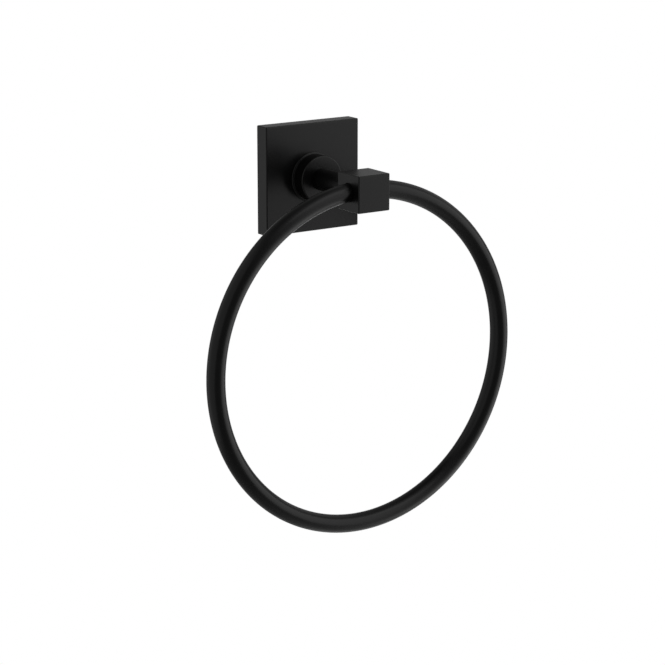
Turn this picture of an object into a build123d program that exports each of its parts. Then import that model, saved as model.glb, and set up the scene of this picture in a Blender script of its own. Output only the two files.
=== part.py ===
"""Wall towel ring: a square cover plate, a round collar, an arm with a square head, and a fixed tube ring.

The origin is the middle of the plate's back on the wall. +Z is up, and the arm stands out along -Y.
Plane.XZ faces out of the wall, so Plane.XZ.offset(depth) lies at that depth in front of it.
"""

import os
from math import asin, degrees, sqrt

from build123d import *

os.makedirs("parts", exist_ok=True)

# Wall plate: a square cover, cast hollow behind
PLATE_SIDE = 60.0
PLATE_DEPTH = 9.4
PLATE_RIM = 2.4
PLATE_FACE = 3.0
PLATE_EDGE = 0.5
POCKET_CORNER = 3.0
POCKET_DRAFT = 1.5

# Collar on the plate's face, with a thin wider foot
COLLAR_DIAMETER = 26.0
COLLAR_LENGTH = 9.2
COLLAR_RIM = 0.5
FOOT_LEDGE = 1.0
FOOT_THICKNESS = 0.8
FOOT_EDGE = 0.4
FOOT_COVE = 0.3
NECK_SEAT = 1.0

# Arm: round neck, square head and square tenon in one casting
NECK_DIAMETER = 12.0
NECK_REACH = 29.9
NECK_ROOT = 0.8
HEAD_SIDE = 20.0
HEAD_LENGTH = 20.0
HEAD_EDGE = 0.5
TENON_SIDE = 8.0
TENON_CORNER = 0.8
TENON_CLEARANCE = 0.1
TENON_SHORT = 0.3

# Ring: tube bent to one circle, with a bent pin across the joint
RING_OUTER_DIAMETER = 195.0
TUBE_DIAMETER = 10.0
TUBE_WALL = 1.2
RING_END_GAP = 0.5
RING_CLEARANCE = 0.1
BORE_OVERRUN = 1.0
PIN_LENGTH = 18.0
PIN_CLEARANCE = 0.1

# Grub screws with a hexagon socket, one size for the head and the plate
GRUB_DIAMETER = 4.0
GRUB_SPACING = 10.0
GRUB_RECESS = 0.3
GRUB_SOCKET = 2.0
GRUB_SOCKET_DEPTH = 1.8
GRUB_PAD_WALL = 2.5
GRUB_PAD_GAP = 1.2
GRUB_PAD_STAND_OFF = 0.3
TIP_CLEARANCE = 0.05

# Threads of all the screws, drawn as plain cylinders
THREAD_CLEARANCE = 0.05
THREAD_LEAD = 0.4

# Arm screw with a button head, and its washer
SCREW_DIAMETER = 5.0
SCREW_LENGTH = 12.0
SCREW_HEAD_DIAMETER = 9.5
SCREW_HEAD_HEIGHT = 2.75
SCREW_HEAD_ROUND = 1.6
SCREW_SOCKET = 3.0
SCREW_SOCKET_DEPTH = 1.5
TAP_RUNOUT = 1.5
WASHER_DIAMETER = 15.0
WASHER_THICKNESS = 1.2
WASHER_CLEARANCE = 0.15

# Wall bracket: a dovetail block inside the plate, open in the middle for the arm screw
BRACKET_SIDE_PLAY = 3.6
BRACKET_END_ROOM = 5.6
BRACKET_FRONT_GAP = 1.5
BRACKET_LAND = 1.0
BRACKET_CORNER = 3.0
WINDOW_CLEARANCE = 3.0
HOOK_WIDTH = 26.0
HOOK_CLEARANCE = 0.1
WALL_HOLE_DIAMETER = 5.0
WALL_HOLE_SINK_DIAMETER = 9.6
WALL_HOLE_SINK_ANGLE = 90.0
WALL_HOLE_EDGE = 7.0

# Depths in front of the wall
pocket_depth = PLATE_DEPTH - PLATE_FACE
collar_front = PLATE_DEPTH + COLLAR_LENGTH
neck_back = collar_front - NECK_SEAT
head_back = collar_front + NECK_REACH
ring_depth = head_back + HEAD_LENGTH / 2
tenon_back = pocket_depth + TENON_SHORT
washer_back = pocket_depth - WASHER_THICKNESS
bracket_front = pocket_depth - BRACKET_FRONT_GAP
grub_depth = (BRACKET_LAND + bracket_front) / 2

# Widths and heights
pocket_side = PLATE_SIDE - 2 * PLATE_RIM
bracket_width = pocket_side - 2 * BRACKET_SIDE_PLAY
bracket_half_height = pocket_side / 2 - BRACKET_END_ROOM
bracket_land_half_height = bracket_half_height - (bracket_front - BRACKET_LAND)
tenon_hole_side = TENON_SIDE + 2 * TENON_CLEARANCE
plate_grub_tip = -(bracket_half_height + bracket_land_half_height) / 2 - TIP_CLEARANCE

# Ring: its mid-line crosses the head's sides at the height of the arm's axis
ring_radius = (RING_OUTER_DIAMETER - TUBE_DIAMETER) / 2
ring_centre_height = -sqrt(ring_radius**2 - (HEAD_SIDE / 2) ** 2)
ring_crown_height = ring_centre_height + ring_radius
ring_axis = Axis((0, -ring_depth, ring_centre_height), (0, 1, 0))


def ring_section(angle):
    """Plane across the ring's mid-line at an angle in degrees from the top, towards +X."""
    outwards = Vector(0, 0, 1).rotate(Axis.Y, angle)
    centre = Vector(0, -ring_depth, ring_centre_height) + outwards * ring_radius
    return Plane(origin=centre, x_dir=(0, 1, 0), z_dir=outwards.rotate(Axis.Y, 90))


def hexagon_radius(across_flats):
    """Corner radius of a hexagon socket from its width across flats."""
    return across_flats / sqrt(3)


# Wall plate
with BuildPart() as wall_plate:
    with BuildSketch(Plane.XZ):
        Rectangle(PLATE_SIDE, PLATE_SIDE)
    extrude(amount=PLATE_DEPTH)
    corner_edges = wall_plate.edges().filter_by(Axis.Y)
    face_edges = wall_plate.faces().sort_by(Axis.Y)[0].edges()
    fillet(corner_edges + face_edges, PLATE_EDGE)
    with BuildSketch(Plane.XZ):
        RectangleRounded(pocket_side, pocket_side, POCKET_CORNER)
    extrude(amount=pocket_depth, taper=POCKET_DRAFT, mode=Mode.SUBTRACT)
    # Hook over the bracket's upper bevel, from the upper rim
    hook_drop = HOOK_CLEARANCE * sqrt(2)
    hook_root = PLATE_SIDE / 2 - PLATE_RIM / 2
    with BuildSketch(Plane.YZ):
        with BuildLine():
            Polyline(
                (-BRACKET_LAND, hook_root),
                (-BRACKET_LAND, bracket_land_half_height + hook_drop),
                (-bracket_front, bracket_half_height + hook_drop),
                (-pocket_depth, bracket_half_height + hook_drop),
                (-pocket_depth, hook_root),
                close=True,
            )
        make_face()
    extrude(amount=HOOK_WIDTH / 2, both=True)
    # Pad on the lower rim that gives the grub screw its thread
    pad_top = -bracket_half_height - GRUB_PAD_GAP
    with BuildSketch(Plane.XZ.offset(GRUB_PAD_STAND_OFF)):
        with Locations((0, pad_top)):
            Rectangle(
                GRUB_DIAMETER + 2 * GRUB_PAD_WALL,
                pad_top + hook_root,
                align=(Align.CENTER, Align.MAX),
            )
    extrude(amount=pocket_depth - GRUB_PAD_STAND_OFF)
    with BuildSketch(Plane.XY.offset(-PLATE_SIDE / 2)):
        with Locations((0, -grub_depth)):
            Circle(GRUB_DIAMETER / 2 + THREAD_CLEARANCE)
    extrude(amount=PLATE_SIDE / 2 + pad_top, mode=Mode.SUBTRACT)
    # Square hole for the arm's tenon
    with BuildSketch(Plane.XZ.offset(pocket_depth)):
        RectangleRounded(tenon_hole_side, tenon_hole_side, TENON_CORNER)
    extrude(amount=PLATE_FACE, mode=Mode.SUBTRACT)

# Collar
with BuildPart() as collar:
    with BuildSketch(Plane.XZ.offset(PLATE_DEPTH)):
        Circle(COLLAR_DIAMETER / 2 + FOOT_LEDGE)
    extrude(amount=FOOT_THICKNESS)
    with BuildSketch(Plane.XZ.offset(PLATE_DEPTH)):
        Circle(COLLAR_DIAMETER / 2)
    extrude(amount=COLLAR_LENGTH)
    rim_edge, ledge_edges = collar.edges().filter_by(GeomType.CIRCLE).group_by(Axis.Y)[:2]
    cove_edge, foot_edge = ledge_edges.sort_by(SortBy.RADIUS)
    fillet(rim_edge, COLLAR_RIM)
    fillet(cove_edge, FOOT_COVE)
    fillet(foot_edge, FOOT_EDGE)
    with BuildSketch(Plane.XZ.offset(neck_back)):
        Circle(NECK_DIAMETER / 2 + TENON_CLEARANCE)
    extrude(amount=NECK_SEAT, mode=Mode.SUBTRACT)
    with BuildSketch(Plane.XZ.offset(PLATE_DEPTH)):
        RectangleRounded(tenon_hole_side, tenon_hole_side, TENON_CORNER)
    extrude(amount=COLLAR_LENGTH - NECK_SEAT, mode=Mode.SUBTRACT)

# Arm
with BuildPart() as arm:
    with BuildSketch(Plane.XZ.offset(head_back)):
        Rectangle(HEAD_SIDE, HEAD_SIDE)
    extrude(amount=HEAD_LENGTH)
    fillet(arm.edges(), HEAD_EDGE)
    with BuildSketch(Plane.XZ.offset(neck_back)):
        Circle(NECK_DIAMETER / 2)
    extrude(amount=head_back - neck_back)
    root_edge = arm.edges().filter_by(GeomType.CIRCLE).filter_by_position(
        Axis.Y, -head_back, -head_back
    ).sort_by(SortBy.RADIUS)[-1]
    fillet(root_edge, NECK_ROOT)
    with BuildSketch(Plane.XZ.offset(tenon_back)):
        RectangleRounded(TENON_SIDE, TENON_SIDE, TENON_CORNER)
    extrude(amount=neck_back - tenon_back)
    # Thread for the arm screw
    screw_tip = washer_back + SCREW_LENGTH
    with BuildSketch(Plane.XZ.offset(tenon_back)):
        Circle(SCREW_DIAMETER / 2 + THREAD_CLEARANCE)
    extrude(amount=screw_tip + TAP_RUNOUT - tenon_back, mode=Mode.SUBTRACT)
    # Two bores that meet in the middle, each along the chord of the tube end that it takes
    crown = Vector(0, -ring_depth, ring_crown_height)
    for side in (-1, 1):
        mouth = Vector(side * HEAD_SIDE / 2, -ring_depth, 0)
        inwards = (crown - mouth).normalized()
        chord = (crown - mouth).length
        chord_sag = ring_radius - sqrt(ring_radius**2 - (chord / 2) ** 2)
        lift = Vector(0, 0, chord_sag / 2)
        start = mouth - inwards * TUBE_DIAMETER / 2 + lift
        with BuildSketch(Plane(origin=start, x_dir=(0, 1, 0), z_dir=inwards)):
            Circle(TUBE_DIAMETER / 2 + chord_sag / 2 + RING_CLEARANCE)
        extrude(amount=TUBE_DIAMETER / 2 + chord + BORE_OVERRUN, mode=Mode.SUBTRACT)
    # Threads for the two ring grub screws
    with BuildSketch(Plane.XY.offset(-HEAD_SIDE / 2)):
        with Locations((0, -ring_depth)):
            with GridLocations(GRUB_SPACING, 0, 2, 1):
                Circle(GRUB_DIAMETER / 2 + THREAD_CLEARANCE)
    extrude(amount=HEAD_SIDE / 2, mode=Mode.SUBTRACT)

# Ring
gap_half_angle = degrees(asin(RING_END_GAP / 2 / ring_radius))
with BuildPart() as ring:
    with BuildSketch(ring_section(gap_half_angle)):
        Circle(TUBE_DIAMETER / 2)
        Circle(TUBE_DIAMETER / 2 - TUBE_WALL, mode=Mode.SUBTRACT)
    revolve(axis=ring_axis, revolution_arc=360 - 2 * gap_half_angle)

# Bent pin inside the two tube ends
pin_half_angle = degrees(PIN_LENGTH / 2 / ring_radius)
with BuildPart() as ring_joint_pin:
    with BuildSketch(ring_section(-pin_half_angle)):
        Circle(TUBE_DIAMETER / 2 - TUBE_WALL - PIN_CLEARANCE)
    revolve(axis=ring_axis, revolution_arc=2 * pin_half_angle)

# Arm screw and washer
with BuildPart() as arm_washer:
    with BuildSketch(Plane.XZ.offset(washer_back)):
        Circle(WASHER_DIAMETER / 2)
        Circle(SCREW_DIAMETER / 2 + WASHER_CLEARANCE, mode=Mode.SUBTRACT)
    extrude(amount=WASHER_THICKNESS)

with BuildPart() as arm_screw:
    head_top = washer_back - SCREW_HEAD_HEIGHT
    with BuildSketch(Plane.XZ.offset(head_top)):
        Circle(SCREW_HEAD_DIAMETER / 2)
    extrude(amount=SCREW_HEAD_HEIGHT)
    fillet(arm_screw.edges().sort_by(Axis.Y)[-1], SCREW_HEAD_ROUND)
    with BuildSketch(Plane.XZ.offset(washer_back)):
        Circle(SCREW_DIAMETER / 2)
    extrude(amount=SCREW_LENGTH)
    chamfer(arm_screw.edges().sort_by(Axis.Y)[0], THREAD_LEAD)
    with BuildSketch(Plane.XZ.offset(head_top)):
        RegularPolygon(hexagon_radius(SCREW_SOCKET), 6)
    extrude(amount=SCREW_SOCKET_DEPTH, mode=Mode.SUBTRACT)

# Ring grub screws: flat points that bear on the underside of each tube end
inner_radius = ring_radius - TUBE_DIAMETER / 2
bearing_reach = GRUB_SPACING / 2 + GRUB_DIAMETER / 2
bearing_height = ring_centre_height + sqrt(inner_radius**2 - bearing_reach**2) - TIP_CLEARANCE
ring_grubs = {}
for name, side in (("ring_grub_left", -1), ("ring_grub_right", 1)):
    with BuildPart() as ring_grub:
        foot_height = -HEAD_SIDE / 2 + GRUB_RECESS
        with BuildSketch(Plane.XY.offset(foot_height)):
            with Locations((side * GRUB_SPACING / 2, -ring_depth)):
                Circle(GRUB_DIAMETER / 2)
        extrude(amount=bearing_height - foot_height)
        chamfer(ring_grub.edges().filter_by(GeomType.CIRCLE), THREAD_LEAD)
        with BuildSketch(Plane.XY.offset(foot_height)):
            with Locations((side * GRUB_SPACING / 2, -ring_depth)):
                RegularPolygon(hexagon_radius(GRUB_SOCKET), 6)
        extrude(amount=GRUB_SOCKET_DEPTH, mode=Mode.SUBTRACT)
    ring_grubs[name] = ring_grub

# Plate grub screw: its cone lies along the bracket's lower bevel
with BuildPart() as plate_grub:
    grub_foot = -PLATE_SIDE / 2 + GRUB_RECESS
    cone_base = plate_grub_tip - GRUB_DIAMETER / 2
    with BuildSketch(Plane.YZ):
        with Locations((-grub_depth, 0)):
            Polygon(
                (0, grub_foot),
                (GRUB_DIAMETER / 2 - THREAD_LEAD, grub_foot),
                (GRUB_DIAMETER / 2, grub_foot + THREAD_LEAD),
                (GRUB_DIAMETER / 2, cone_base),
                (0, plate_grub_tip),
                align=None,
            )
    revolve(axis=Axis((0, -grub_depth, 0), (0, 0, 1)))
    with BuildSketch(Plane.XY.offset(grub_foot)):
        with Locations((0, -grub_depth)):
            RegularPolygon(hexagon_radius(GRUB_SOCKET), 6)
    extrude(amount=GRUB_SOCKET_DEPTH, mode=Mode.SUBTRACT)

# Wall bracket
with BuildPart() as wall_bracket:
    with BuildSketch(Plane.YZ):
        with BuildLine():
            Polyline(
                (0, -bracket_land_half_height),
                (-BRACKET_LAND, -bracket_land_half_height),
                (-bracket_front, -bracket_half_height),
                (-bracket_front, bracket_half_height),
                (-BRACKET_LAND, bracket_land_half_height),
                (0, bracket_land_half_height),
                close=True,
            )
        make_face()
    extrude(amount=bracket_width / 2, both=True)
    with BuildSketch(Plane.XZ):
        RectangleRounded(bracket_width, 2 * bracket_half_height, BRACKET_CORNER)
    extrude(amount=bracket_front, mode=Mode.INTERSECT)
    with BuildSketch(Plane.XZ):
        Circle(SCREW_HEAD_DIAMETER / 2 + WINDOW_CLEARANCE)
    extrude(amount=bracket_front, mode=Mode.SUBTRACT)
    with Locations(Plane.XZ.offset(bracket_front)):
        with GridLocations(bracket_width - 2 * WALL_HOLE_EDGE, 0, 2, 1):
            CounterSinkHole(
                WALL_HOLE_DIAMETER / 2,
                WALL_HOLE_SINK_DIAMETER / 2,
                depth=bracket_front,
                counter_sink_angle=WALL_HOLE_SINK_ANGLE,
            )

pieces = {
    "wall_plate": wall_plate,
    "collar": collar,
    "arm": arm,
    "ring": ring,
    "ring_joint_pin": ring_joint_pin,
    "arm_washer": arm_washer,
    "arm_screw": arm_screw,
    "plate_grub": plate_grub,
    "wall_bracket": wall_bracket,
    **ring_grubs,
}
for name, piece in pieces.items():
    piece.part.label = name
    export_step(piece.part, f"parts/{name}.step")
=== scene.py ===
"""Dresses the wall towel ring: its castings, ring and screws, their finishes, a studio and a camera.

Meshes are shaped in millimetres in the part's own frame and brought to metres when a piece is finished.
The wall is the plane Y = 0, depths are measured from it along -Y, and +Z is up.
"""

import logging
import math
from abc import ABC, abstractmethod
from collections.abc import Sequence
from dataclasses import dataclass
from enum import Enum

import bmesh
import bpy
from mathutils import Matrix, Quaternion, Vector


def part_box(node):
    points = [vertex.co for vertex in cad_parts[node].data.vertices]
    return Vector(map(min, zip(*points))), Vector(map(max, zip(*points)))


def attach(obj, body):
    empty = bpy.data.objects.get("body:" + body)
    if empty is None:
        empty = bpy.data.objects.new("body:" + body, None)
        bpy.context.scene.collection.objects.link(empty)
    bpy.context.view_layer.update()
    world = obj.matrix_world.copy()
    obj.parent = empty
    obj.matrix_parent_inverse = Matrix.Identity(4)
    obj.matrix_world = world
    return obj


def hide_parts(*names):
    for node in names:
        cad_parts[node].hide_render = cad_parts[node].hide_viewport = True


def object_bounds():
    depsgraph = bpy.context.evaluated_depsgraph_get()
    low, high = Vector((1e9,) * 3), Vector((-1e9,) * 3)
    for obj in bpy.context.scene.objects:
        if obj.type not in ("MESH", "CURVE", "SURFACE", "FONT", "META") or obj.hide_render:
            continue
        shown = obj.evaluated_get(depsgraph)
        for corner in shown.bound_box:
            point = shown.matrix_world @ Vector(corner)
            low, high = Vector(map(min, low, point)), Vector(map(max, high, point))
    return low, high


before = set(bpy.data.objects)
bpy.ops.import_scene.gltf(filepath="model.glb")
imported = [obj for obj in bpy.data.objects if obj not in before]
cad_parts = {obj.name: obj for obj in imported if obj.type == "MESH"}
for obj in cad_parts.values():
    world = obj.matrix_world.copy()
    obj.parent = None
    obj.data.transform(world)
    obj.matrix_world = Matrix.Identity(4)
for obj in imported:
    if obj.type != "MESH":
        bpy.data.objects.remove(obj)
CAD_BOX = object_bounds()

LOG = logging.getLogger("towel_ring")
BODY = "root"
MM = 0.001
TURN = 2 * math.pi
LATHE_STEPS = 128
HOLE_STEPS = 72
ROUND_STEPS = 5
BREAK_STEPS = 2
THREAD_STEPS = 32
HEXAGON_SIDES = 6
WELD_DISTANCE = 1e-4
SMOOTH_LIMIT = math.radians(32)
BREAK_LIMIT = math.radians(50)
ARM_AXIS = Vector((0, 1, 0))
OUTWARDS = Vector((0, -1, 0))
UPWARDS = Vector((0, 0, 1))


class Slot(Enum):
    """Material slots of the record."""

    SATIN_BLACK = "satin_black"
    BARE_ZINC = "bare_zinc"
    PLAIN_STEEL = "plain_steel"


class Join(Enum):
    """How a tool acts on a workpiece."""

    CUT = "DIFFERENCE"
    WELD = "UNION"
    TRIM = "INTERSECT"


@dataclass(frozen=True)
class Extent:
    """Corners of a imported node, in millimetres."""

    low: Vector
    high: Vector

    @classmethod
    def of(cls, node: str) -> "Extent":
        """Reads a node's corners from the frame."""
        low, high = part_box(node)
        return cls(low / MM, high / MM)

    @property
    def width(self) -> float:
        """Size along X."""
        return self.high.x - self.low.x

    @property
    def thickness(self) -> float:
        """Size along Y."""
        return self.high.y - self.low.y

    @property
    def height(self) -> float:
        """Size along Z."""
        return self.high.z - self.low.z

    @property
    def back(self) -> float:
        """Depth of the side that is nearest to the wall."""
        return -self.high.y

    @property
    def front(self) -> float:
        """Depth of the side that is furthest from the wall."""
        return -self.low.y

    @property
    def middle(self) -> Vector:
        """Middle of the box."""
        return (self.low + self.high) / 2


@dataclass(frozen=True)
class Corner:
    """A corner of a turned outline, with the radius that rounds it."""

    radius: float
    depth: float
    rounding: float = 0.0


def at_depth(depth: float, x: float = 0.0, z: float = 0.0) -> Vector:
    """Point at a depth in front of the wall."""
    return Vector((x, -depth, z))


def aimed(along: Vector) -> Matrix:
    """Turn that brings +Z onto a direction."""
    return along.to_track_quat("Z", "Y").to_matrix().to_4x4()


def round_corner(bm: bmesh.types.BMesh, corner: bmesh.types.BMVert, radius: float) -> None:
    """Rounds one corner of a flat outline.

    Args:
        bm: Outline that is worked on.
        corner: The corner.
        radius: Radius that it gets.
    """
    bmesh.ops.bevel(
        bm, geom=[corner], offset=radius, segments=ROUND_STEPS, profile=0.5, affect="VERTICES", material=-1
    )


def round_edges(
    bm: bmesh.types.BMesh, edges: Sequence[bmesh.types.BMEdge], radius: float, steps: int = ROUND_STEPS
) -> None:
    """Rounds edges of a solid.

    Args:
        bm: Solid that is worked on.
        edges: Edges to round.
        radius: Radius that they get.
        steps: Flats across the rounding.
    """
    bmesh.ops.bevel(
        bm, geom=edges, offset=radius, segments=steps, profile=0.5, affect="EDGES", material=-1
    )


def draw_out(bm: bmesh.types.BMesh, along: Vector) -> list[bmesh.types.BMVert]:
    """Draws a flat outline out to a solid.

    Args:
        bm: Outline that is worked on.
        along: Way from the first end to the far end.

    Returns:
        Vertices of the far end.
    """
    grown = bmesh.ops.extrude_face_region(bm, geom=bm.faces[:])["geom"]
    far_end = [item for item in grown if isinstance(item, bmesh.types.BMVert)]
    bmesh.ops.translate(bm, verts=far_end, vec=along)
    return far_end


def turned(outline: Sequence[Corner], steps: int = LATHE_STEPS) -> bmesh.types.BMesh:
    """Turns an outline round the arm's axis.

    Args:
        outline: Corners in order, the first and the last on the axis.
        steps: Flats round the full turn.

    Returns:
        A closed solid of revolution.
    """
    bm = bmesh.new()
    corners = [bm.verts.new(at_depth(corner.depth, x=corner.radius)) for corner in outline]
    for start, end in zip(corners, corners[1:]):
        bm.edges.new((start, end))
    for corner, vert in zip(outline, corners):
        if corner.rounding:
            round_corner(bm, vert, corner.rounding)
    profile = bm.verts[:] + bm.edges[:]
    bmesh.ops.spin(
        bm, geom=profile, cent=Vector(), axis=ARM_AXIS, angle=TURN, steps=steps, use_merge=True
    )
    bmesh.ops.remove_doubles(bm, verts=bm.verts, dist=WELD_DISTANCE)
    bmesh.ops.recalc_face_normals(bm, faces=bm.faces)
    return bm


def block(
    width: float, height: float, corner: float, back: float, front: float, draft: float = 0.0
) -> bmesh.types.BMesh:
    """Makes a bar with rounded corners along the arm's axis.

    Args:
        width: Size along X at the back.
        height: Size along Z at the back.
        corner: Radius of the four corners.
        back: Depth where it starts.
        front: Depth where it ends.
        draft: Angle in radians by which each side leans in towards the front.

    Returns:
        A closed bmesh.
    """
    bm = bmesh.new()
    ends = ((-1, -1), (1, -1), (1, 1), (-1, 1))
    outline = [bm.verts.new(at_depth(back, x * width / 2, z * height / 2)) for x, z in ends]
    bm.faces.new(outline)
    for vert in outline:
        round_corner(bm, vert, corner)
    far_end = draw_out(bm, at_depth(front - back))
    lean = (front - back) * math.tan(draft)
    bmesh.ops.scale(bm, verts=far_end, vec=(1 - 2 * lean / width, 1, 1 - 2 * lean / height))
    bmesh.ops.recalc_face_normals(bm, faces=bm.faces)
    return bm


def side_bar(outline: Sequence[tuple[float, float]], width: float) -> bmesh.types.BMesh:
    """Makes a bar across the wall from its side outline.

    Args:
        outline: Points as depth and height, in order round the outline.
        width: Size along X, centred on the arm's axis.

    Returns:
        A closed bmesh.
    """
    bm = bmesh.new()
    bm.faces.new([bm.verts.new(at_depth(depth, -width / 2, height)) for depth, height in outline])
    draw_out(bm, Vector((width, 0, 0)))
    bmesh.ops.recalc_face_normals(bm, faces=bm.faces)
    return bm


def rod(
    start: Vector, end: Vector, radius: float, end_radius: float | None = None, sides: int = HOLE_STEPS
) -> bmesh.types.BMesh:
    """Makes a straight rod, cone or prism between two points.

    Args:
        start: Middle of the first end.
        end: Middle of the other end.
        radius: Radius at the start.
        end_radius: Radius at the end, the same as at the start if left out.
        sides: Flats round it.

    Returns:
        A closed bmesh.
    """
    along = end - start
    place = Matrix.Translation((start + end) / 2) @ aimed(along)
    bm = bmesh.new()
    bmesh.ops.create_cone(
        bm,
        cap_ends=True,
        segments=sides,
        radius1=radius,
        radius2=radius if end_radius is None else end_radius,
        depth=along.length,
        matrix=place,
    )
    return bm


def hexagon_radius(across_flats: float) -> float:
    """Corner radius of a hexagon socket from its width across flats."""
    return across_flats / math.sqrt(3)


def grey(tone: float) -> tuple[float, float, float, float]:
    """Opaque neutral colour of a tone."""
    return (tone, tone, tone, 1.0)


@dataclass(frozen=True)
class Tenon:
    """The square tongue behind the neck, and the square hole that it goes through."""

    side: float = 8.0
    corner: float = 0.8
    clearance: float = 0.1

    def bar(self, back: float, front: float) -> bmesh.types.BMesh:
        """Makes the tongue between two depths."""
        return block(self.side, self.side, self.corner, back, front)

    def hole(self, back: float, front: float) -> bmesh.types.BMesh:
        """Makes the cutter of its hole between two depths."""
        side = self.side + 2 * self.clearance
        return block(side, side, self.corner, back, front)


class Workpiece:
    """A solid in millimetres that tools cut and weld until it is finished as a piece."""

    def __init__(self, bm: bmesh.types.BMesh) -> None:
        """Takes over a bmesh as the solid to work on."""
        self.object = self.placed("workpiece", bm)

    @staticmethod
    def placed(name: str, bm: bmesh.types.BMesh) -> bpy.types.Object:
        """Puts a bmesh into the scene.

        Args:
            name: Name of the new object.
            bm: Shape, which is freed.

        Returns:
            The object, at the origin.
        """
        mesh = bpy.data.meshes.new(name)
        bm.to_mesh(mesh)
        bm.free()
        item = bpy.data.objects.new(name, mesh)
        bpy.context.scene.collection.objects.link(item)
        return item

    def join(self, how: Join, *tools: bmesh.types.BMesh) -> "Workpiece":
        """Cuts, welds or trims the solid.

        Args:
            how: What each tool does.
            tools: Shapes, which are used up.

        Returns:
            The workpiece itself.
        """
        for shape in tools:
            tool = self.placed("tool", shape)
            boolean = self.object.modifiers.new("join", "BOOLEAN")
            boolean.operation = how.value
            boolean.solver = "EXACT"
            boolean.object = tool
            evaluated = self.object.evaluated_get(bpy.context.evaluated_depsgraph_get())
            worked, before = bpy.data.meshes.new_from_object(evaluated), self.object.data
            self.object.modifiers.clear()
            self.object.data = worked
            for spent in (before, tool.data):
                bpy.data.meshes.remove(spent)
        return self

    def broken(self, width: float) -> "Workpiece":
        """Breaks the sharp edges, as casting and tumbling leave them.

        Args:
            width: Width of the break on each face.

        Returns:
            The workpiece itself.
        """
        bm = bmesh.new()
        bm.from_mesh(self.object.data)
        bmesh.ops.remove_doubles(bm, verts=bm.verts, dist=WELD_DISTANCE)
        sharp = [edge for edge in bm.edges if edge.is_manifold and edge.calc_face_angle() > BREAK_LIMIT]
        round_edges(bm, sharp, width, BREAK_STEPS)
        bm.to_mesh(self.object.data)
        bm.free()
        return self

    def taken(self) -> bmesh.types.BMesh:
        """Gives the solid back, to be used as a tool.

        Returns:
            The solid's bmesh, with nothing of it left in the scene.
        """
        bm = bmesh.new()
        bm.from_mesh(self.object.data)
        bpy.data.meshes.remove(self.object.data)
        return bm

    def finished(self, node: str, finish: "Finish") -> bpy.types.Object:
        """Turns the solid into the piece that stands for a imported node.

        Args:
            node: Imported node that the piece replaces, whose name it takes.
            finish: Surface of the piece.

        Returns:
            The piece, in metres.
        """
        piece = self.object
        piece.name = piece.data.name = f"{node}_dressed"
        bm = bmesh.new()
        bm.from_mesh(piece.data)
        bmesh.ops.remove_doubles(bm, verts=bm.verts, dist=WELD_DISTANCE)
        bmesh.ops.scale(bm, verts=bm.verts, vec=(MM, MM, MM))
        bm.to_mesh(piece.data)
        bm.free()
        piece.data.shade_smooth()
        piece.data.set_sharp_from_angle(angle=SMOOTH_LIMIT)
        normals = piece.modifiers.new("flat faces stay flat", "WEIGHTED_NORMAL")
        normals.keep_sharp = True
        piece.data.materials.clear()
        piece.data.materials.append(finish.material())
        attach(piece, BODY)
        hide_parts(node)
        LOG.info("%s: %d faces, %s", node, len(piece.data.polygons), finish.slot.value)
        return piece


class NodeBoard:
    """A node tree with short calls that place and wire its nodes."""

    def __init__(self, tree: bpy.types.NodeTree) -> None:
        """Starts on an emptied tree."""
        self.tree = tree
        tree.nodes.clear()

    def add(self, kind: str, values: dict[str, object] | None = None, **settings: object) -> bpy.types.Node:
        """Places a node.

        Args:
            kind: Blender's name of the node type.
            values: Values of its input sockets.
            settings: Values of its own properties.

        Returns:
            The new node.
        """
        node = self.tree.nodes.new(kind)
        for key, value in settings.items():
            setattr(node, key, value)
        for key, value in (values or {}).items():
            node.inputs[key].default_value = value
        return node

    def wire(self, source: bpy.types.NodeSocket, target: bpy.types.NodeSocket) -> None:
        """Joins an output to an input."""
        self.tree.links.new(source, target)


class SurfaceGrain:
    """Node group with a fine grain, a slow mottle and a polish that follows both, each about 0 to 1."""

    NAME = "surface_grain"
    INPUTS = ("Grain Scale", "Mottle Scale", "Mottle Low", "Mottle High")
    OUTPUTS = ("Grain", "Mottle", "Polish")
    GRAIN_DETAIL = 2.0
    MOTTLE_DETAIL = 5.0
    MOTTLE_MIDDLE = 0.5
    GRAIN_SHARE = 0.45

    @classmethod
    def group(cls) -> bpy.types.NodeTree:
        """Builds the group on its first use.

        Returns:
            The shared node group.
        """
        made = bpy.data.node_groups.get(cls.NAME)
        if made:
            return made
        made = bpy.data.node_groups.new(cls.NAME, "ShaderNodeTree")
        board = NodeBoard(made)
        for name in cls.INPUTS:
            made.interface.new_socket(name, in_out="INPUT", socket_type="NodeSocketFloat")
        for name in cls.OUTPUTS:
            made.interface.new_socket(name, in_out="OUTPUT", socket_type="NodeSocketFloat")
        entry = board.add("NodeGroupInput")
        leave = board.add("NodeGroupOutput")
        place = board.add("ShaderNodeTexCoord")
        grain = board.add("ShaderNodeTexNoise", {"Detail": cls.GRAIN_DETAIL})
        clouds = board.add("ShaderNodeTexNoise", {"Detail": cls.MOTTLE_DETAIL})
        for noise, scale in ((grain, "Grain Scale"), (clouds, "Mottle Scale")):
            board.wire(place.outputs["Object"], noise.inputs["Vector"])
            board.wire(entry.outputs[scale], noise.inputs["Scale"])
        mottle = board.add("ShaderNodeMapRange")
        board.wire(clouds.outputs["Fac"], mottle.inputs["Value"])
        board.wire(entry.outputs["Mottle Low"], mottle.inputs["From Min"])
        board.wire(entry.outputs["Mottle High"], mottle.inputs["From Max"])
        polish = board.add("ShaderNodeMix", {"Factor": cls.GRAIN_SHARE}, data_type="FLOAT")
        board.wire(mottle.outputs["Result"], polish.inputs["A"])
        board.wire(grain.outputs["Fac"], polish.inputs["B"])
        board.wire(grain.outputs["Fac"], leave.inputs["Grain"])
        board.wire(mottle.outputs["Result"], leave.inputs["Mottle"])
        board.wire(polish.outputs["Result"], leave.inputs["Polish"])
        return made


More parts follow.
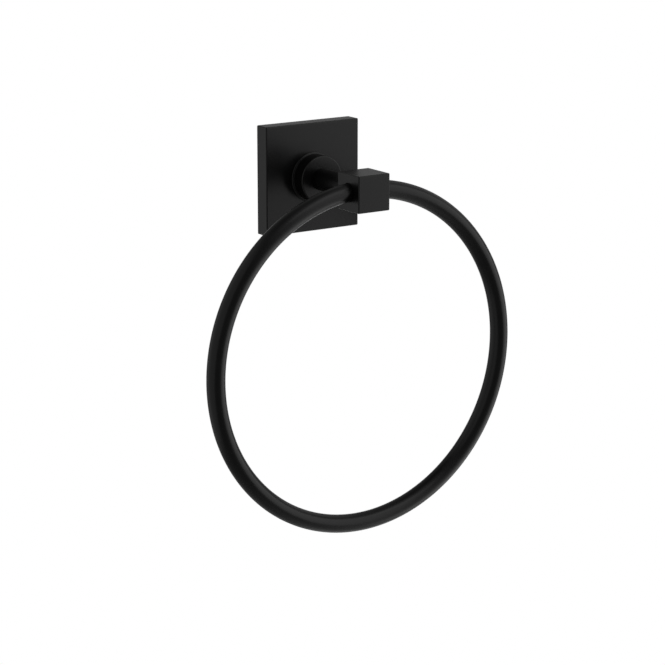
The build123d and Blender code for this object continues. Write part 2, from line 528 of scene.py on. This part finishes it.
@dataclass(frozen=True)
class Finish:
    """A surface finish: two close tones, a range of roughness, a grain and, where cast bare, fine pits."""

    slot: Slot
    dark: tuple[float, float, float]
    light: tuple[float, float, float]
    smoothest: float
    roughest: float
    metallic: float
    specular: float
    grain_scale: float
    grain_height: float
    mottle_scale: float
    mottle_spread: float
    pit_scale: float = 0.0
    pit_size: float = 0.0
    pit_depth: float = 0.0

    def material(self) -> bpy.types.Material:
        """Builds the material on its first use.

        Returns:
            The finish's material.
        """
        name = f"{self.slot.value}_finish"
        made = bpy.data.materials.get(name)
        if made:
            return made
        made = bpy.data.materials.new(name)
        made.use_nodes = True
        board = NodeBoard(made.node_tree)
        surface = board.add(
            "ShaderNodeBsdfPrincipled",
            {"Metallic": self.metallic, "Specular IOR Level": self.specular},
        )
        out = board.add("ShaderNodeOutputMaterial")
        board.wire(surface.outputs["BSDF"], out.inputs["Surface"])
        grain = board.add(
            "ShaderNodeGroup",
            {
                "Grain Scale": self.grain_scale,
                "Mottle Scale": self.mottle_scale,
                "Mottle Low": SurfaceGrain.MOTTLE_MIDDLE - self.mottle_spread,
                "Mottle High": SurfaceGrain.MOTTLE_MIDDLE + self.mottle_spread,
            },
            node_tree=SurfaceGrain.group(),
        )
        tone = board.add("ShaderNodeMix", data_type="RGBA")
        tone.inputs["A"].default_value = (*self.dark, 1.0)
        tone.inputs["B"].default_value = (*self.light, 1.0)
        board.wire(grain.outputs["Mottle"], tone.inputs["Factor"])
        board.wire(tone.outputs["Result"], surface.inputs["Base Color"])
        roughness = board.add(
            "ShaderNodeMapRange", {"To Min": self.smoothest, "To Max": self.roughest}
        )
        board.wire(grain.outputs["Polish"], roughness.inputs["Value"])
        board.wire(roughness.outputs["Result"], surface.inputs["Roughness"])
        bump = board.add("ShaderNodeBump", {"Distance": self.grain_height})
        board.wire(grain.outputs["Grain"], bump.inputs["Height"])
        board.wire(bump.outputs["Normal"], surface.inputs["Normal"])
        if self.pit_depth:
            self.add_pits(board, bump)
        return made

    def add_pits(self, board: NodeBoard, bump: bpy.types.Node) -> None:
        """Sinks scattered fine pits under the grain.

        Args:
            board: Board of the material.
            bump: Bump node of the grain, which follows the pits.
        """
        place = board.add("ShaderNodeTexCoord")
        cells = board.add("ShaderNodeTexVoronoi", {"Scale": self.pit_scale})
        floor = board.add("ShaderNodeMapRange", {"From Max": self.pit_size}, interpolation_type="SMOOTHSTEP")
        pits = board.add("ShaderNodeBump", {"Distance": self.pit_depth})
        board.wire(place.outputs["Object"], cells.inputs["Vector"])
        board.wire(cells.outputs["Distance"], floor.inputs["Value"])
        board.wire(floor.outputs["Result"], pits.inputs["Height"])
        board.wire(pits.outputs["Normal"], bump.inputs["Normal"])


SATIN_BLACK = Finish(
    slot=Slot.SATIN_BLACK,
    dark=(0.0008, 0.0008, 0.0008),
    light=(0.0016, 0.0016, 0.0016),
    smoothest=0.26,
    roughest=0.33,
    metallic=0.0,
    specular=0.16,
    grain_scale=2600.0,
    grain_height=0.00001,
    mottle_scale=110.0,
    mottle_spread=0.3,
)
BARE_ZINC = Finish(
    slot=Slot.BARE_ZINC,
    dark=(0.4, 0.41, 0.42),
    light=(0.64, 0.65, 0.66),
    smoothest=0.3,
    roughest=0.52,
    metallic=1.0,
    specular=0.5,
    grain_scale=1400.0,
    grain_height=0.00002,
    mottle_scale=160.0,
    mottle_spread=0.16,
    pit_scale=650.0,
    pit_size=0.12,
    pit_depth=0.00005,
)
PLAIN_STEEL = Finish(
    slot=Slot.PLAIN_STEEL,
    dark=(0.42, 0.42, 0.42),
    light=(0.58, 0.58, 0.57),
    smoothest=0.2,
    roughest=0.36,
    metallic=1.0,
    specular=0.5,
    grain_scale=3200.0,
    grain_height=0.000008,
    mottle_scale=500.0,
    mottle_spread=0.2,
)


@dataclass
class SubAssembly(ABC):
    """Pieces that are built and dressed together, with sizes in millimetres.

    A cutter runs past the face that it opens by the overlap.
    """

    overlap: float = 1.0

    @abstractmethod
    def dress(self) -> None:
        """Builds the pieces and gives them their finishes."""


@dataclass
class WallPlate(SubAssembly):
    """Square cover plate, cast hollow behind, with a hook and a screw pad in its pocket."""

    edge: float = 0.65
    edge_break: float = 0.2
    rim: float = 2.4
    face: float = 3.0
    pocket_corner: float = 3.0
    pocket_draft: float = math.radians(1.5)
    hook_width: float = 26.0
    hook_clearance: float = 0.1
    bracket_land: float = 1.0
    pad_width: float = 9.0
    pad_gap: float = 1.2
    pad_stand_off: float = 0.3
    grub_hole_radius: float = 2.05
    tenon: Tenon = Tenon()

    def dress(self) -> None:
        """Builds the plate and gives it its finish."""
        plate, bracket, grub = (Extent.of(node) for node in ("wall_plate", "wall_bracket", "plate_grub"))
        floor_depth = plate.front - self.face
        solid = Workpiece(self.cover(plate))
        solid.join(Join.CUT, self.pocket(plate, bracket, floor_depth))
        grub_depth = -grub.middle.y
        hole_top = bracket.low.z - self.pad_gap + self.overlap
        solid.join(
            Join.CUT,
            self.tenon.hole(floor_depth - self.overlap, plate.front + self.overlap),
            rod(
                at_depth(grub_depth, z=plate.low.z - self.overlap),
                at_depth(grub_depth, z=hole_top),
                self.grub_hole_radius,
            ),
        )
        solid.broken(self.edge_break).finished("wall_plate", SATIN_BLACK)

    def cover(self, plate: Extent) -> bmesh.types.BMesh:
        """Makes the plate's outer form, with its corners and front edges rounded.

        Args:
            plate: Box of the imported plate.

        Returns:
            A closed bmesh.
        """
        bm = bmesh.new()
        bmesh.ops.create_cube(bm, size=1.0)
        bmesh.ops.scale(bm, verts=bm.verts, vec=(plate.width, plate.thickness, plate.height))
        bmesh.ops.translate(bm, verts=bm.verts, vec=plate.middle)
        shown = [edge for edge in bm.edges if any(vert.co.y < plate.middle.y for vert in edge.verts)]
        round_edges(bm, shown, self.edge)
        return bm

    def pocket(self, plate: Extent, bracket: Extent, floor_depth: float) -> bmesh.types.BMesh:
        """Makes the hollow behind the plate, with room left for the hook and the screw pad.

        Args:
            plate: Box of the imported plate.
            bracket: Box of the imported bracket.
            floor_depth: Depth of the pocket's floor.

        Returns:
            A closed bmesh that cuts the pocket.
        """
        side = plate.width - 2 * self.rim
        lean = 2 * self.overlap * math.tan(self.pocket_draft)
        hollow = Workpiece(
            block(
                side + lean, side + lean, self.pocket_corner, -self.overlap, floor_depth, self.pocket_draft
            )
        )
        slack = self.hook_clearance * math.sqrt(2)
        land_height = bracket.high.z - (bracket.front - self.bracket_land)
        top, beyond = plate.high.z, floor_depth + self.overlap
        hook = side_bar(
            (
                (self.bracket_land, top),
                (self.bracket_land, land_height + slack),
                (bracket.front, bracket.high.z + slack),
                (beyond, bracket.high.z + slack),
                (beyond, top),
            ),
            self.hook_width,
        )
        pad_top = bracket.low.z - self.pad_gap
        pad = side_bar(
            (
                (self.pad_stand_off, plate.low.z),
                (beyond, plate.low.z),
                (beyond, pad_top),
                (self.pad_stand_off, pad_top),
            ),
            self.pad_width,
        )
        return hollow.join(Join.CUT, hook, pad).taken()


@dataclass
class CollarRing(SubAssembly):
    """Round collar on the plate, with a thin wider foot and a seat for the neck."""

    foot_ledge: float = 1.0
    foot_thickness: float = 0.8
    foot_edge: float = 0.5
    foot_cove: float = 0.3
    rim: float = 0.65
    seat_radius: float = 6.1
    seat_depth: float = 1.0
    tenon: Tenon = Tenon()

    def dress(self) -> None:
        """Turns the collar, cuts its square hole and gives it its finish."""
        collar = Extent.of("collar")
        foot = collar.width / 2
        side = foot - self.foot_ledge
        ledge_depth = collar.back + self.foot_thickness
        seat = collar.front - self.seat_depth
        outline = (
            Corner(0, collar.back),
            Corner(foot, collar.back),
            Corner(foot, ledge_depth, self.foot_edge),
            Corner(side, ledge_depth, self.foot_cove),
            Corner(side, collar.front, self.rim),
            Corner(self.seat_radius, collar.front),
            Corner(self.seat_radius, seat),
            Corner(0, seat),
        )
        hole = self.tenon.hole(collar.back - self.overlap, seat + self.overlap / 2)
        Workpiece(turned(outline)).join(Join.CUT, hole).finished("collar", SATIN_BLACK)


@dataclass
class Arm(SubAssembly):
    """Round neck, square head and square tenon in one casting, bored for the ring and its screws."""

    head_edge: float = 0.6
    mouth_break: float = 0.15
    neck_radius: float = 6.0
    neck_root: float = 0.8
    neck_seat: float = 1.0
    tenon: Tenon = Tenon()
    tap_radius: float = 2.55
    tap_runout: float = 1.5
    ring_clearance: float = 0.1
    grub_clearance: float = 0.05

    def dress(self) -> None:
        """Welds the casting together, bores it and gives it its finish."""
        arm, collar, screw = (Extent.of(node) for node in ("arm", "collar", "arm_screw"))
        head_back = arm.front - arm.width
        neck_back = collar.front - self.neck_seat
        neck = turned(
            (
                Corner(0, neck_back),
                Corner(self.neck_radius, neck_back),
                Corner(self.neck_radius, head_back, self.neck_root),
                Corner(self.neck_radius + self.neck_root, head_back),
                Corner(self.neck_radius + self.neck_root, head_back + self.overlap),
                Corner(0, head_back + self.overlap),
            )
        )
        tenon = self.tenon.bar(arm.back, neck_back + self.overlap)
        tap = rod(
            at_depth(arm.back - self.overlap), at_depth(screw.front + self.tap_runout), self.tap_radius
        )
        casting = Workpiece(self.head(arm)).join(Join.WELD, neck, tenon)
        casting.join(Join.CUT, tap, *self.ring_bores(arm), *self.grub_holes(arm))
        casting.broken(self.mouth_break).finished("arm", SATIN_BLACK)

    def head(self, arm: Extent) -> bmesh.types.BMesh:
        """Makes the square head with all its edges rounded.

        Args:
            arm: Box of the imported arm, as wide as the head.

        Returns:
            A closed bmesh.
        """
        bm = bmesh.new()
        bmesh.ops.create_cube(bm, size=arm.width)
        bmesh.ops.translate(bm, verts=bm.verts, vec=at_depth(arm.front - arm.width / 2))
        round_edges(bm, bm.edges[:], self.head_edge)
        return bm

    def ring_bores(self, arm: Extent) -> list[bmesh.types.BMesh]:
        """Makes the two bores that meet in the middle, each along the chord of a tube end.

        Args:
            arm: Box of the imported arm, as wide as the head.

        Returns:
            One cutter for each side.
        """
        ring = Extent.of("ring")
        tube_radius = ring.thickness / 2
        ring_radius = ring.width / 2 - tube_radius
        crown = at_depth(-ring.middle.y, z=ring.high.z - tube_radius)
        bores = []
        for side in (-1, 1):
            mouth = at_depth(-ring.middle.y, side * arm.width / 2)
            chord = crown - mouth
            sag = ring_radius - math.sqrt(ring_radius**2 - (chord.length / 2) ** 2)
            lift = Vector((0, 0, sag / 2))
            reach = chord.normalized()
            bores.append(
                rod(
                    mouth + lift - reach * tube_radius,
                    crown + lift + reach * self.overlap,
                    tube_radius + sag / 2 + self.ring_clearance,
                )
            )
        return bores

    def grub_holes(self, arm: Extent) -> list[bmesh.types.BMesh]:
        """Makes the screw holes in the head's underside.

        Args:
            arm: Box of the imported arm.

        Returns:
            One cutter for each grub screw.
        """
        holes = []
        for node in ("ring_grub_left", "ring_grub_right"):
            grub = Extent.of(node)
            below = Vector((grub.middle.x, grub.middle.y, arm.low.z - self.overlap))
            above = Vector((grub.middle.x, grub.middle.y, 0.0))
            holes.append(rod(below, above, grub.width / 2 + self.grub_clearance))
        return holes


@dataclass
class TubeRing(SubAssembly):
    """The ring: one tube bent to a circle, its two ends nearly meeting inside the head."""

    wall: float = 1.2
    end_gap: float = 0.5
    tube_steps: int = 64
    ring_steps: int = 320

    def dress(self) -> None:
        """Bends the tube and gives it its finish."""
        ring = Extent.of("ring")
        radius = (ring.width - ring.thickness) / 2
        centre = Vector((ring.middle.x, ring.middle.y, ring.low.z + ring.width / 2))
        half_gap = math.asin(self.end_gap / 2 / radius)
        bm = bmesh.new()
        section = []
        for tube_radius in (ring.thickness / 2, ring.thickness / 2 - self.wall):
            section += bmesh.ops.create_circle(bm, radius=tube_radius, segments=self.tube_steps)["verts"]
        bmesh.ops.bridge_loops(bm, edges=bm.edges[:])
        upright = Matrix.Rotation(math.pi / 2, 4, "Y")
        to_crown = Matrix.Translation(centre + Vector((0, 0, radius)))
        bmesh.ops.transform(bm, matrix=to_crown @ upright, verts=section)
        open_ends = Matrix.Rotation(half_gap, 3, "Y")
        bmesh.ops.rotate(bm, verts=section, cent=centre, matrix=open_ends)
        bmesh.ops.spin(
            bm,
            geom=bm.verts[:] + bm.edges[:] + bm.faces[:],
            cent=centre,
            axis=ARM_AXIS,
            angle=TURN - 2 * half_gap,
            steps=self.ring_steps,
        )
        bmesh.ops.recalc_face_normals(bm, faces=bm.faces)
        Workpiece(bm).finished("ring", SATIN_BLACK)


@dataclass
class Fixings(SubAssembly):
    """Screws and washer of bright steel: the arm screw, three grub screws and the joint pin."""

    thread_share: float = 0.61
    lead: float = 0.4
    fine_pitch: float = 0.7
    coarse_pitch: float = 0.8
    screw_radius: float = 2.5
    head_height: float = 2.75
    head_round: float = 1.6
    screw_socket: float = 3.0
    screw_socket_depth: float = 1.5
    grub_socket: float = 2.0
    grub_socket_depth: float = 1.8
    point_radius: float = 0.01
    washer_bore_radius: float = 2.65
    washer_edge: float = 0.15

    def dress(self) -> None:
        """Builds each screw and the washer, and finishes the pin that is hidden in the tube."""
        self.dress_arm_screw()
        self.dress_washer()
        for node in ("ring_grub_left", "ring_grub_right"):
            self.dress_grub(node, pointed=False)
        self.dress_grub("plate_grub", pointed=True)
        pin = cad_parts["ring_joint_pin"]
        pin.data.materials.clear()
        pin.data.materials.append(PLAIN_STEEL.material())
        LOG.info("ring_joint_pin: kept as packed, %s", PLAIN_STEEL.slot.value)

    def threaded(
        self, start: Vector, along: Vector, radius: float, pitch: float, length: float
    ) -> bmesh.types.BMesh:
        """Makes a threaded rod by sweeping a cam-shaped section up a screw line.

        Args:
            start: Middle of the first end.
            along: Direction of the rod.
            radius: Radius over the thread's crests.
            pitch: Rise in one turn.
            length: Length of the rod.

        Returns:
            A closed bmesh.
        """
        bm = bmesh.new()
        bmesh.ops.create_circle(bm, cap_ends=True, radius=radius, segments=THREAD_STEPS)
        for vert in bm.verts:
            flank = abs(math.atan2(vert.co.y, vert.co.x)) / math.pi
            vert.co *= 1 - flank * self.thread_share * pitch / radius
        steps = round(length / pitch * THREAD_STEPS)
        bmesh.ops.spin(
            bm,
            geom=bm.verts[:] + bm.edges[:] + bm.faces[:],
            cent=Vector(),
            axis=UPWARDS,
            dvec=(0, 0, length / steps),
            angle=TURN * length / pitch,
            steps=steps,
        )
        for vert in bm.verts:
            reach = radius - self.lead + max(0.0, min(vert.co.z, length - vert.co.z))
            flat = math.hypot(vert.co.x, vert.co.y)
            if flat > reach:
                vert.co.x *= reach / flat
                vert.co.y *= reach / flat
        bmesh.ops.transform(bm, matrix=Matrix.Translation(start) @ aimed(along), verts=bm.verts)
        bmesh.ops.recalc_face_normals(bm, faces=bm.faces)
        return bm

    def dress_arm_screw(self) -> None:
        """Builds the button-headed screw that pulls the arm to the plate."""
        screw = Extent.of("arm_screw")
        under_head = screw.back + self.head_height
        head = turned(
            (
                Corner(0, screw.back),
                Corner(screw.width / 2, screw.back, self.head_round),
                Corner(screw.width / 2, under_head),
                Corner(0, under_head),
            )
        )
        shank = self.threaded(
            at_depth(under_head - self.overlap / 2),
            OUTWARDS,
            self.screw_radius,
            self.coarse_pitch,
            screw.front - under_head + self.overlap / 2,
        )
        socket = rod(
            at_depth(screw.back - self.overlap),
            at_depth(screw.back + self.screw_socket_depth),
            hexagon_radius(self.screw_socket),
            sides=HEXAGON_SIDES,
        )
        solid = Workpiece(head).join(Join.WELD, shank).join(Join.CUT, socket)
        solid.finished("arm_screw", PLAIN_STEEL)

    def dress_washer(self) -> None:
        """Turns the flat washer under the arm screw's head."""
        washer = Extent.of("arm_washer")
        outline = (
            Corner(0, washer.back),
            Corner(washer.width / 2, washer.back, self.washer_edge),
            Corner(washer.width / 2, washer.front, self.washer_edge),
            Corner(0, washer.front),
        )
        bore = rod(
            at_depth(washer.back - self.overlap),
            at_depth(washer.front + self.overlap),
            self.washer_bore_radius,
        )
        Workpiece(turned(outline)).join(Join.CUT, bore).finished("arm_washer", PLAIN_STEEL)

    def dress_grub(self, node: str, pointed: bool) -> None:
        """Builds an upright grub screw with its socket below.

        Args:
            node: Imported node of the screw.
            pointed: Whether its upper end is a cone and not flat.
        """
        grub = Extent.of(node)
        radius = grub.width / 2
        foot = Vector((grub.middle.x, grub.middle.y, grub.low.z))
        tip = Vector((grub.middle.x, grub.middle.y, grub.high.z))
        solid = Workpiece(self.threaded(foot, UPWARDS, radius, self.fine_pitch, grub.height))
        if pointed:
            cone_base = tip - UPWARDS * radius
            solid.join(Join.TRIM, self.pointed_rod(foot, cone_base, tip, radius))
        socket = rod(
            foot - UPWARDS * self.overlap,
            foot + UPWARDS * self.grub_socket_depth,
            hexagon_radius(self.grub_socket),
            sides=HEXAGON_SIDES,
        )
        solid.join(Join.CUT, socket).finished(node, PLAIN_STEEL)

    def pointed_rod(
        self, foot: Vector, cone_base: Vector, tip: Vector, radius: float
    ) -> bmesh.types.BMesh:
        """Makes the envelope of a screw with a cone point.

        Args:
            foot: Middle of the lower end.
            cone_base: Middle of the cone's base.
            tip: Point of the cone.
            radius: Radius of the screw.

        Returns:
            A closed bmesh, a little longer below the foot.
        """
        below = UPWARDS * self.overlap
        body = rod(foot - below, cone_base, radius + self.overlap)
        cone = rod(cone_base - below, tip, radius + self.overlap, end_radius=self.point_radius)
        return Workpiece(body).join(Join.WELD, cone).taken()


@dataclass
class WallBracket(SubAssembly):
    """Cast zinc dovetail block on the wall, with a window for the arm screw and two countersunk holes."""

    land: float = 1.0
    corner: float = 3.0
    edge_break: float = 0.3
    window_radius: float = 7.75
    hole_radius: float = 2.5
    sink_radius: float = 4.8
    hole_edge: float = 7.0

    def dress(self) -> None:
        """Builds the bracket and gives it its finish."""
        bracket = Extent.of("wall_bracket")
        top = bracket.high.z
        land_top = top - (bracket.front - self.land)
        solid = Workpiece(
            side_bar(
                (
                    (bracket.back, -land_top),
                    (self.land, -land_top),
                    (bracket.front, -top),
                    (bracket.front, top),
                    (self.land, land_top),
                    (bracket.back, land_top),
                ),
                bracket.width,
            )
        )
        solid.join(
            Join.TRIM,
            block(
                bracket.width,
                bracket.height,
                self.corner,
                bracket.back - self.overlap,
                bracket.front + self.overlap,
            ),
        )
        window = rod(
            at_depth(bracket.back - self.overlap), at_depth(bracket.front + self.overlap), self.window_radius
        )
        solid.join(Join.CUT, window, *self.wall_holes(bracket))
        solid.broken(self.edge_break).finished("wall_bracket", BARE_ZINC)

    def wall_holes(self, bracket: Extent) -> list[bmesh.types.BMesh]:
        """Makes the cutters of the two wall screw holes.

        Args:
            bracket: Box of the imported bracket.

        Returns:
            A through hole and a countersink for each side.
        """
        cutters = []
        for side in (-1, 1):
            x = side * (bracket.width / 2 - self.hole_edge)
            sink_depth = self.sink_radius - self.hole_radius
            behind, before = bracket.back - self.overlap, bracket.front + self.overlap
            cutters.append(rod(at_depth(behind, x), at_depth(before, x), self.hole_radius))
            cutters.append(
                rod(
                    at_depth(bracket.front - sink_depth, x),
                    at_depth(before, x),
                    self.hole_radius,
                    end_radius=self.sink_radius + self.overlap,
                )
            )
        return cutters


def direction(azimuth: float, elevation: float) -> Vector:
    """Unit vector away from the object, from degrees round from its front and degrees above it."""
    turn, lift = math.radians(azimuth), math.radians(elevation)
    return Vector((math.sin(turn) * math.cos(lift), -math.cos(turn) * math.cos(lift), math.sin(lift)))


@dataclass(frozen=True)
class LampPanel:
    """A soft lamp panel that faces the object: angles in degrees, lengths in metres."""

    name: str
    azimuth: float
    elevation: float
    width: float
    height: float
    radiance: float
    lean: float = 0.0
    distance: float = 2.2

    def place(self, middle: Vector) -> None:
        """Adds the lamp.

        Args:
            middle: Point that the panel faces.
        """
        outwards = direction(self.azimuth, self.elevation)
        leaning = Quaternion(UPWARDS, math.radians(self.lean))
        lamp = bpy.data.lights.new(self.name, "AREA")
        lamp.shape = "RECTANGLE"
        lamp.size, lamp.size_y = self.width, self.height
        lamp.energy = self.radiance * math.pi * self.width * self.height
        holder = bpy.data.objects.new(self.name, lamp)
        holder.location = middle + outwards * self.distance
        holder.rotation_euler = (outwards.to_track_quat("Z", "Y") @ leaning).to_euler()
        bpy.context.scene.collection.objects.link(holder)


@dataclass(frozen=True)
class PhotoCamera:
    """The photograph's viewpoint: angles in degrees, lengths in metres."""

    azimuth: float = -33.672
    elevation: float = 14.185
    distance: float = 1.2446
    target: tuple[float, float, float] = (0.00248, -0.025, -0.08492)
    focal_pixels: float = 2253.6
    frame_pixels: float = 665.0
    sensor: float = 36.0

    @property
    def backwards(self) -> Vector:
        """Direction from the target to the camera."""
        return direction(self.azimuth, self.elevation)

    def frame_side(self, reach: float) -> float:
        """Side of the square that the picture takes in at a distance from the camera."""
        return reach * self.frame_pixels / self.focal_pixels

    def place(self) -> None:
        """Adds the camera and makes it the scene's own."""
        lens = bpy.data.cameras.new("photo_camera")
        lens.sensor_width = self.sensor
        lens.lens = self.focal_pixels / self.frame_pixels * self.sensor
        camera = bpy.data.objects.new("photo_camera", lens)
        camera.location = Vector(self.target) + self.backwards * self.distance
        camera.rotation_euler = self.backwards.to_track_quat("Z", "Y").to_euler()
        bpy.context.scene.collection.objects.link(camera)
        bpy.context.scene.camera = camera


@dataclass
class Studio:
    """Pale floor, white backdrop behind the object and five soft lamps, in metres."""

    floor_level: float = -4.6
    floor_radius: float = 14.0
    floor_tone: float = 0.93
    sheet_tone: float = 0.8
    sheet_distance: float = 6.0
    sheet_fade: float = 1.65
    room_tone: float = 0.31
    lamps: tuple[LampPanel, ...] = (
        LampPanel("key_panel", azimuth=51.0, elevation=9.0, width=2.3, height=7.0, radiance=1.79, lean=24.0),
        LampPanel("fill_panel", azimuth=-99.0, elevation=6.0, width=6.0, height=5.8, radiance=0.64),
        LampPanel("bounce_panel", azimuth=76.0, elevation=-54.0, width=3.6, height=2.0, radiance=0.46),
        LampPanel("top_panel", azimuth=40.0, elevation=62.0, width=2.6, height=1.6, radiance=0.48),
        LampPanel("side_panel", azimuth=104.0, elevation=30.0, width=1.4, height=1.6, radiance=0.38),
    )

    def build(self, camera: PhotoCamera) -> None:
        """Builds the stage and the light.

        Args:
            camera: Viewpoint that the backdrop faces.
        """
        middle = sum(CAD_BOX, Vector()) / 2
        self.lay_floor()
        self.hang_backdrop(camera)
        for lamp in self.lamps:
            lamp.place(middle)
        world = bpy.data.worlds.new("studio_room")
        world.use_nodes = True
        world.node_tree.nodes["Background"].inputs["Color"].default_value = grey(self.room_tone)
        bpy.context.scene.world = world
        bpy.context.scene.view_settings.view_transform = "Standard"

    def lay_floor(self) -> None:
        """Lays the plain pale floor."""
        bm = bmesh.new()
        bmesh.ops.create_circle(bm, cap_ends=True, radius=self.floor_radius, segments=LATHE_STEPS)
        bmesh.ops.translate(bm, verts=bm.verts, vec=(0, 0, self.floor_level))
        floor = Workpiece.placed("floor", bm)
        paint = bpy.data.materials.new("floor_paint")
        paint.use_nodes = True
        board = NodeBoard(paint.node_tree)
        matt = board.add("ShaderNodeBsdfDiffuse", {"Color": grey(self.floor_tone)})
        out = board.add("ShaderNodeOutputMaterial")
        board.wire(matt.outputs["BSDF"], out.inputs["Surface"])
        floor.data.materials.append(paint)

    def hang_backdrop(self, camera: PhotoCamera) -> None:
        """Hangs the round white sheet that fills the photograph's background and fades out beyond it.

        Args:
            camera: Viewpoint that the sheet faces.
        """
        centre = Vector(camera.target) - camera.backwards * self.sheet_distance
        corner = camera.frame_side(camera.distance + self.sheet_distance) / math.sqrt(2)
        bm = bmesh.new()
        bmesh.ops.create_circle(bm, cap_ends=True, radius=corner * self.sheet_fade, segments=LATHE_STEPS)
        place = Matrix.Translation(centre) @ aimed(camera.backwards)
        bmesh.ops.transform(bm, matrix=place, verts=bm.verts)
        sheet = Workpiece.placed("backdrop", bm)
        sheet.data.materials.append(self.white_sheet(centre, corner))

    def white_sheet(self, centre: Vector, corner: float) -> bpy.types.Material:
        """Makes the backdrop's paper, plain white to the camera and in reflections.

        Args:
            centre: Middle of the sheet.
            corner: Distance from the middle to the corners of the photograph's frame.

        Returns:
            The material.
        """
        paper = bpy.data.materials.new("white_sheet")
        paper.use_nodes = True
        board = NodeBoard(paper.node_tree)
        rays = board.add("ShaderNodeLightPath")
        seen = rays.outputs["Is Camera Ray"]
        for kind in ("Is Glossy Ray", "Is Transmission Ray"):
            either = board.add("ShaderNodeMath", operation="MAXIMUM")
            board.wire(seen, either.inputs[0])
            board.wire(rays.outputs[kind], either.inputs[1])
            seen = either.outputs["Value"]
        matt = board.add("ShaderNodeBsdfDiffuse", {"Color": grey(self.sheet_tone)})
        white = board.add("ShaderNodeEmission")
        choice = board.add("ShaderNodeMixShader")
        board.wire(seen, choice.inputs["Fac"])
        board.wire(matt.outputs["BSDF"], choice.inputs[1])
        board.wire(white.outputs["Emission"], choice.inputs[2])
        place = board.add("ShaderNodeTexCoord")
        reach = board.add("ShaderNodeVectorMath", operation="DISTANCE")
        reach.inputs[1].default_value = centre
        board.wire(place.outputs["Object"], reach.inputs[0])
        fade = board.add(
            "ShaderNodeMapRange",
            {"From Min": corner, "From Max": corner * self.sheet_fade},
            interpolation_type="SMOOTHSTEP",
        )
        board.wire(reach.outputs["Value"], fade.inputs["Value"])
        clear = board.add("ShaderNodeBsdfTransparent")
        edge = board.add("ShaderNodeMixShader")
        board.wire(fade.outputs["Result"], edge.inputs["Fac"])
        board.wire(choice.outputs["Shader"], edge.inputs[1])
        board.wire(clear.outputs["BSDF"], edge.inputs[2])
        out = board.add("ShaderNodeOutputMaterial")
        board.wire(edge.outputs["Shader"], out.inputs["Surface"])
        return paper


def main() -> None:
    """Builds every sub-assembly in order, then the studio and the camera."""
    logging.basicConfig(level=logging.INFO, format="%(name)s %(message)s")
    for assembly in (WallPlate(), CollarRing(), Arm(), TubeRing(), Fixings(), WallBracket()):
        assembly.dress()
    camera = PhotoCamera()
    camera.place()
    Studio().build(camera)


if __name__ == "__main__":
    main()
